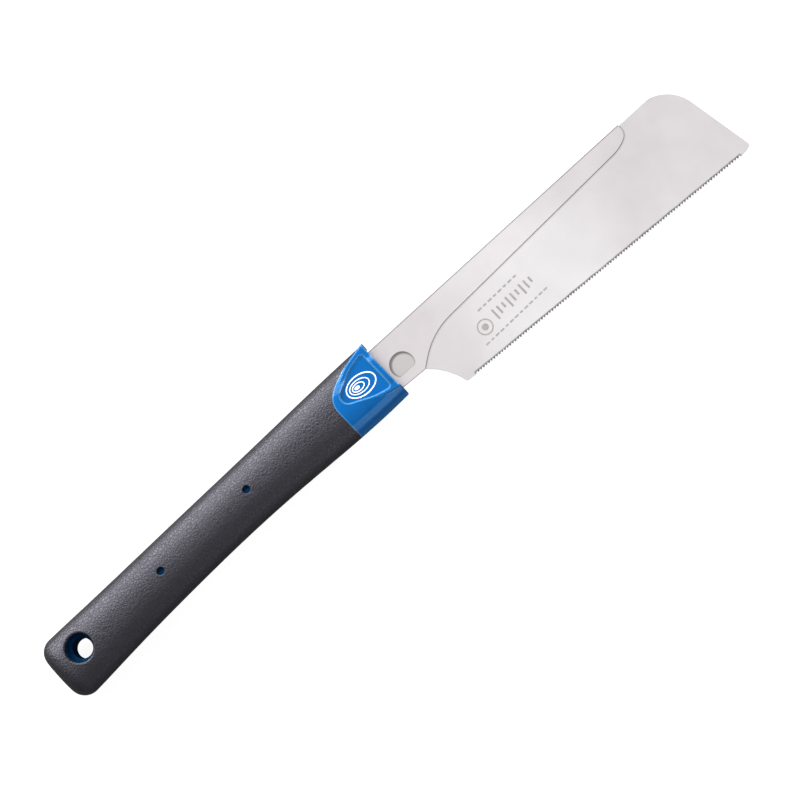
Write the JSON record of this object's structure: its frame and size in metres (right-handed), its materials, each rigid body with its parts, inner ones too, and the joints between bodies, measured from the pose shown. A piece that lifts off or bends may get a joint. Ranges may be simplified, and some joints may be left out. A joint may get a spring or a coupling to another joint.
{
  "type": "back saw",
  "caption": "Pull saw with a short folded steel back, a hooked replaceable blade and an oval soft-grip handle with a hang hole.",
  "frame": {"origin": "middle of the hang hole, on the middle plane of the blade", "axes": "+X from the butt to the nose of the blade, +Y from the teeth to the spine, +Z through the thickness, out of the near face"},
  "size_m": [0.3685, 0.055, 0.02],
  "materials": {
    "head_plastic": "moulded blue plastic, satin gloss",
    "grip_elastomer": "charcoal soft elastomer with a fine leather grain",
    "spring_steel": "bright spring steel",
    "pin_steel": "ground steel",
    "back_steel": "satin nickel-coloured sheet steel",
    "blade_steel": "ground satin steel, darker at the hardened teeth"
  },
  "bodies": {
    "handle": {"core_shell_near": "head_plastic", "core_shell_far": "head_plastic", "grip_sleeve": "grip_elastomer", "blade_socket": "spring_steel", "socket_pins": "pin_steel"},
    "hook": {"hook_pin": "pin_steel"},
    "blade": {"back_stiffener": "back_steel", "blade_plate": "blade_steel"}
  },
  "joints": [
    {"name": "blade_swing", "type": "hinge", "parent": "handle", "child": "hook", "pos_m": [0.137, 0.001, 0], "axis": [0, 0, 1], "range_deg": [-15, 0]},
    {"name": "blade_draw", "type": "slide", "parent": "hook", "child": "blade", "axis": [1, 0, 0], "range_m": [0, 0.048]}
  ]
}
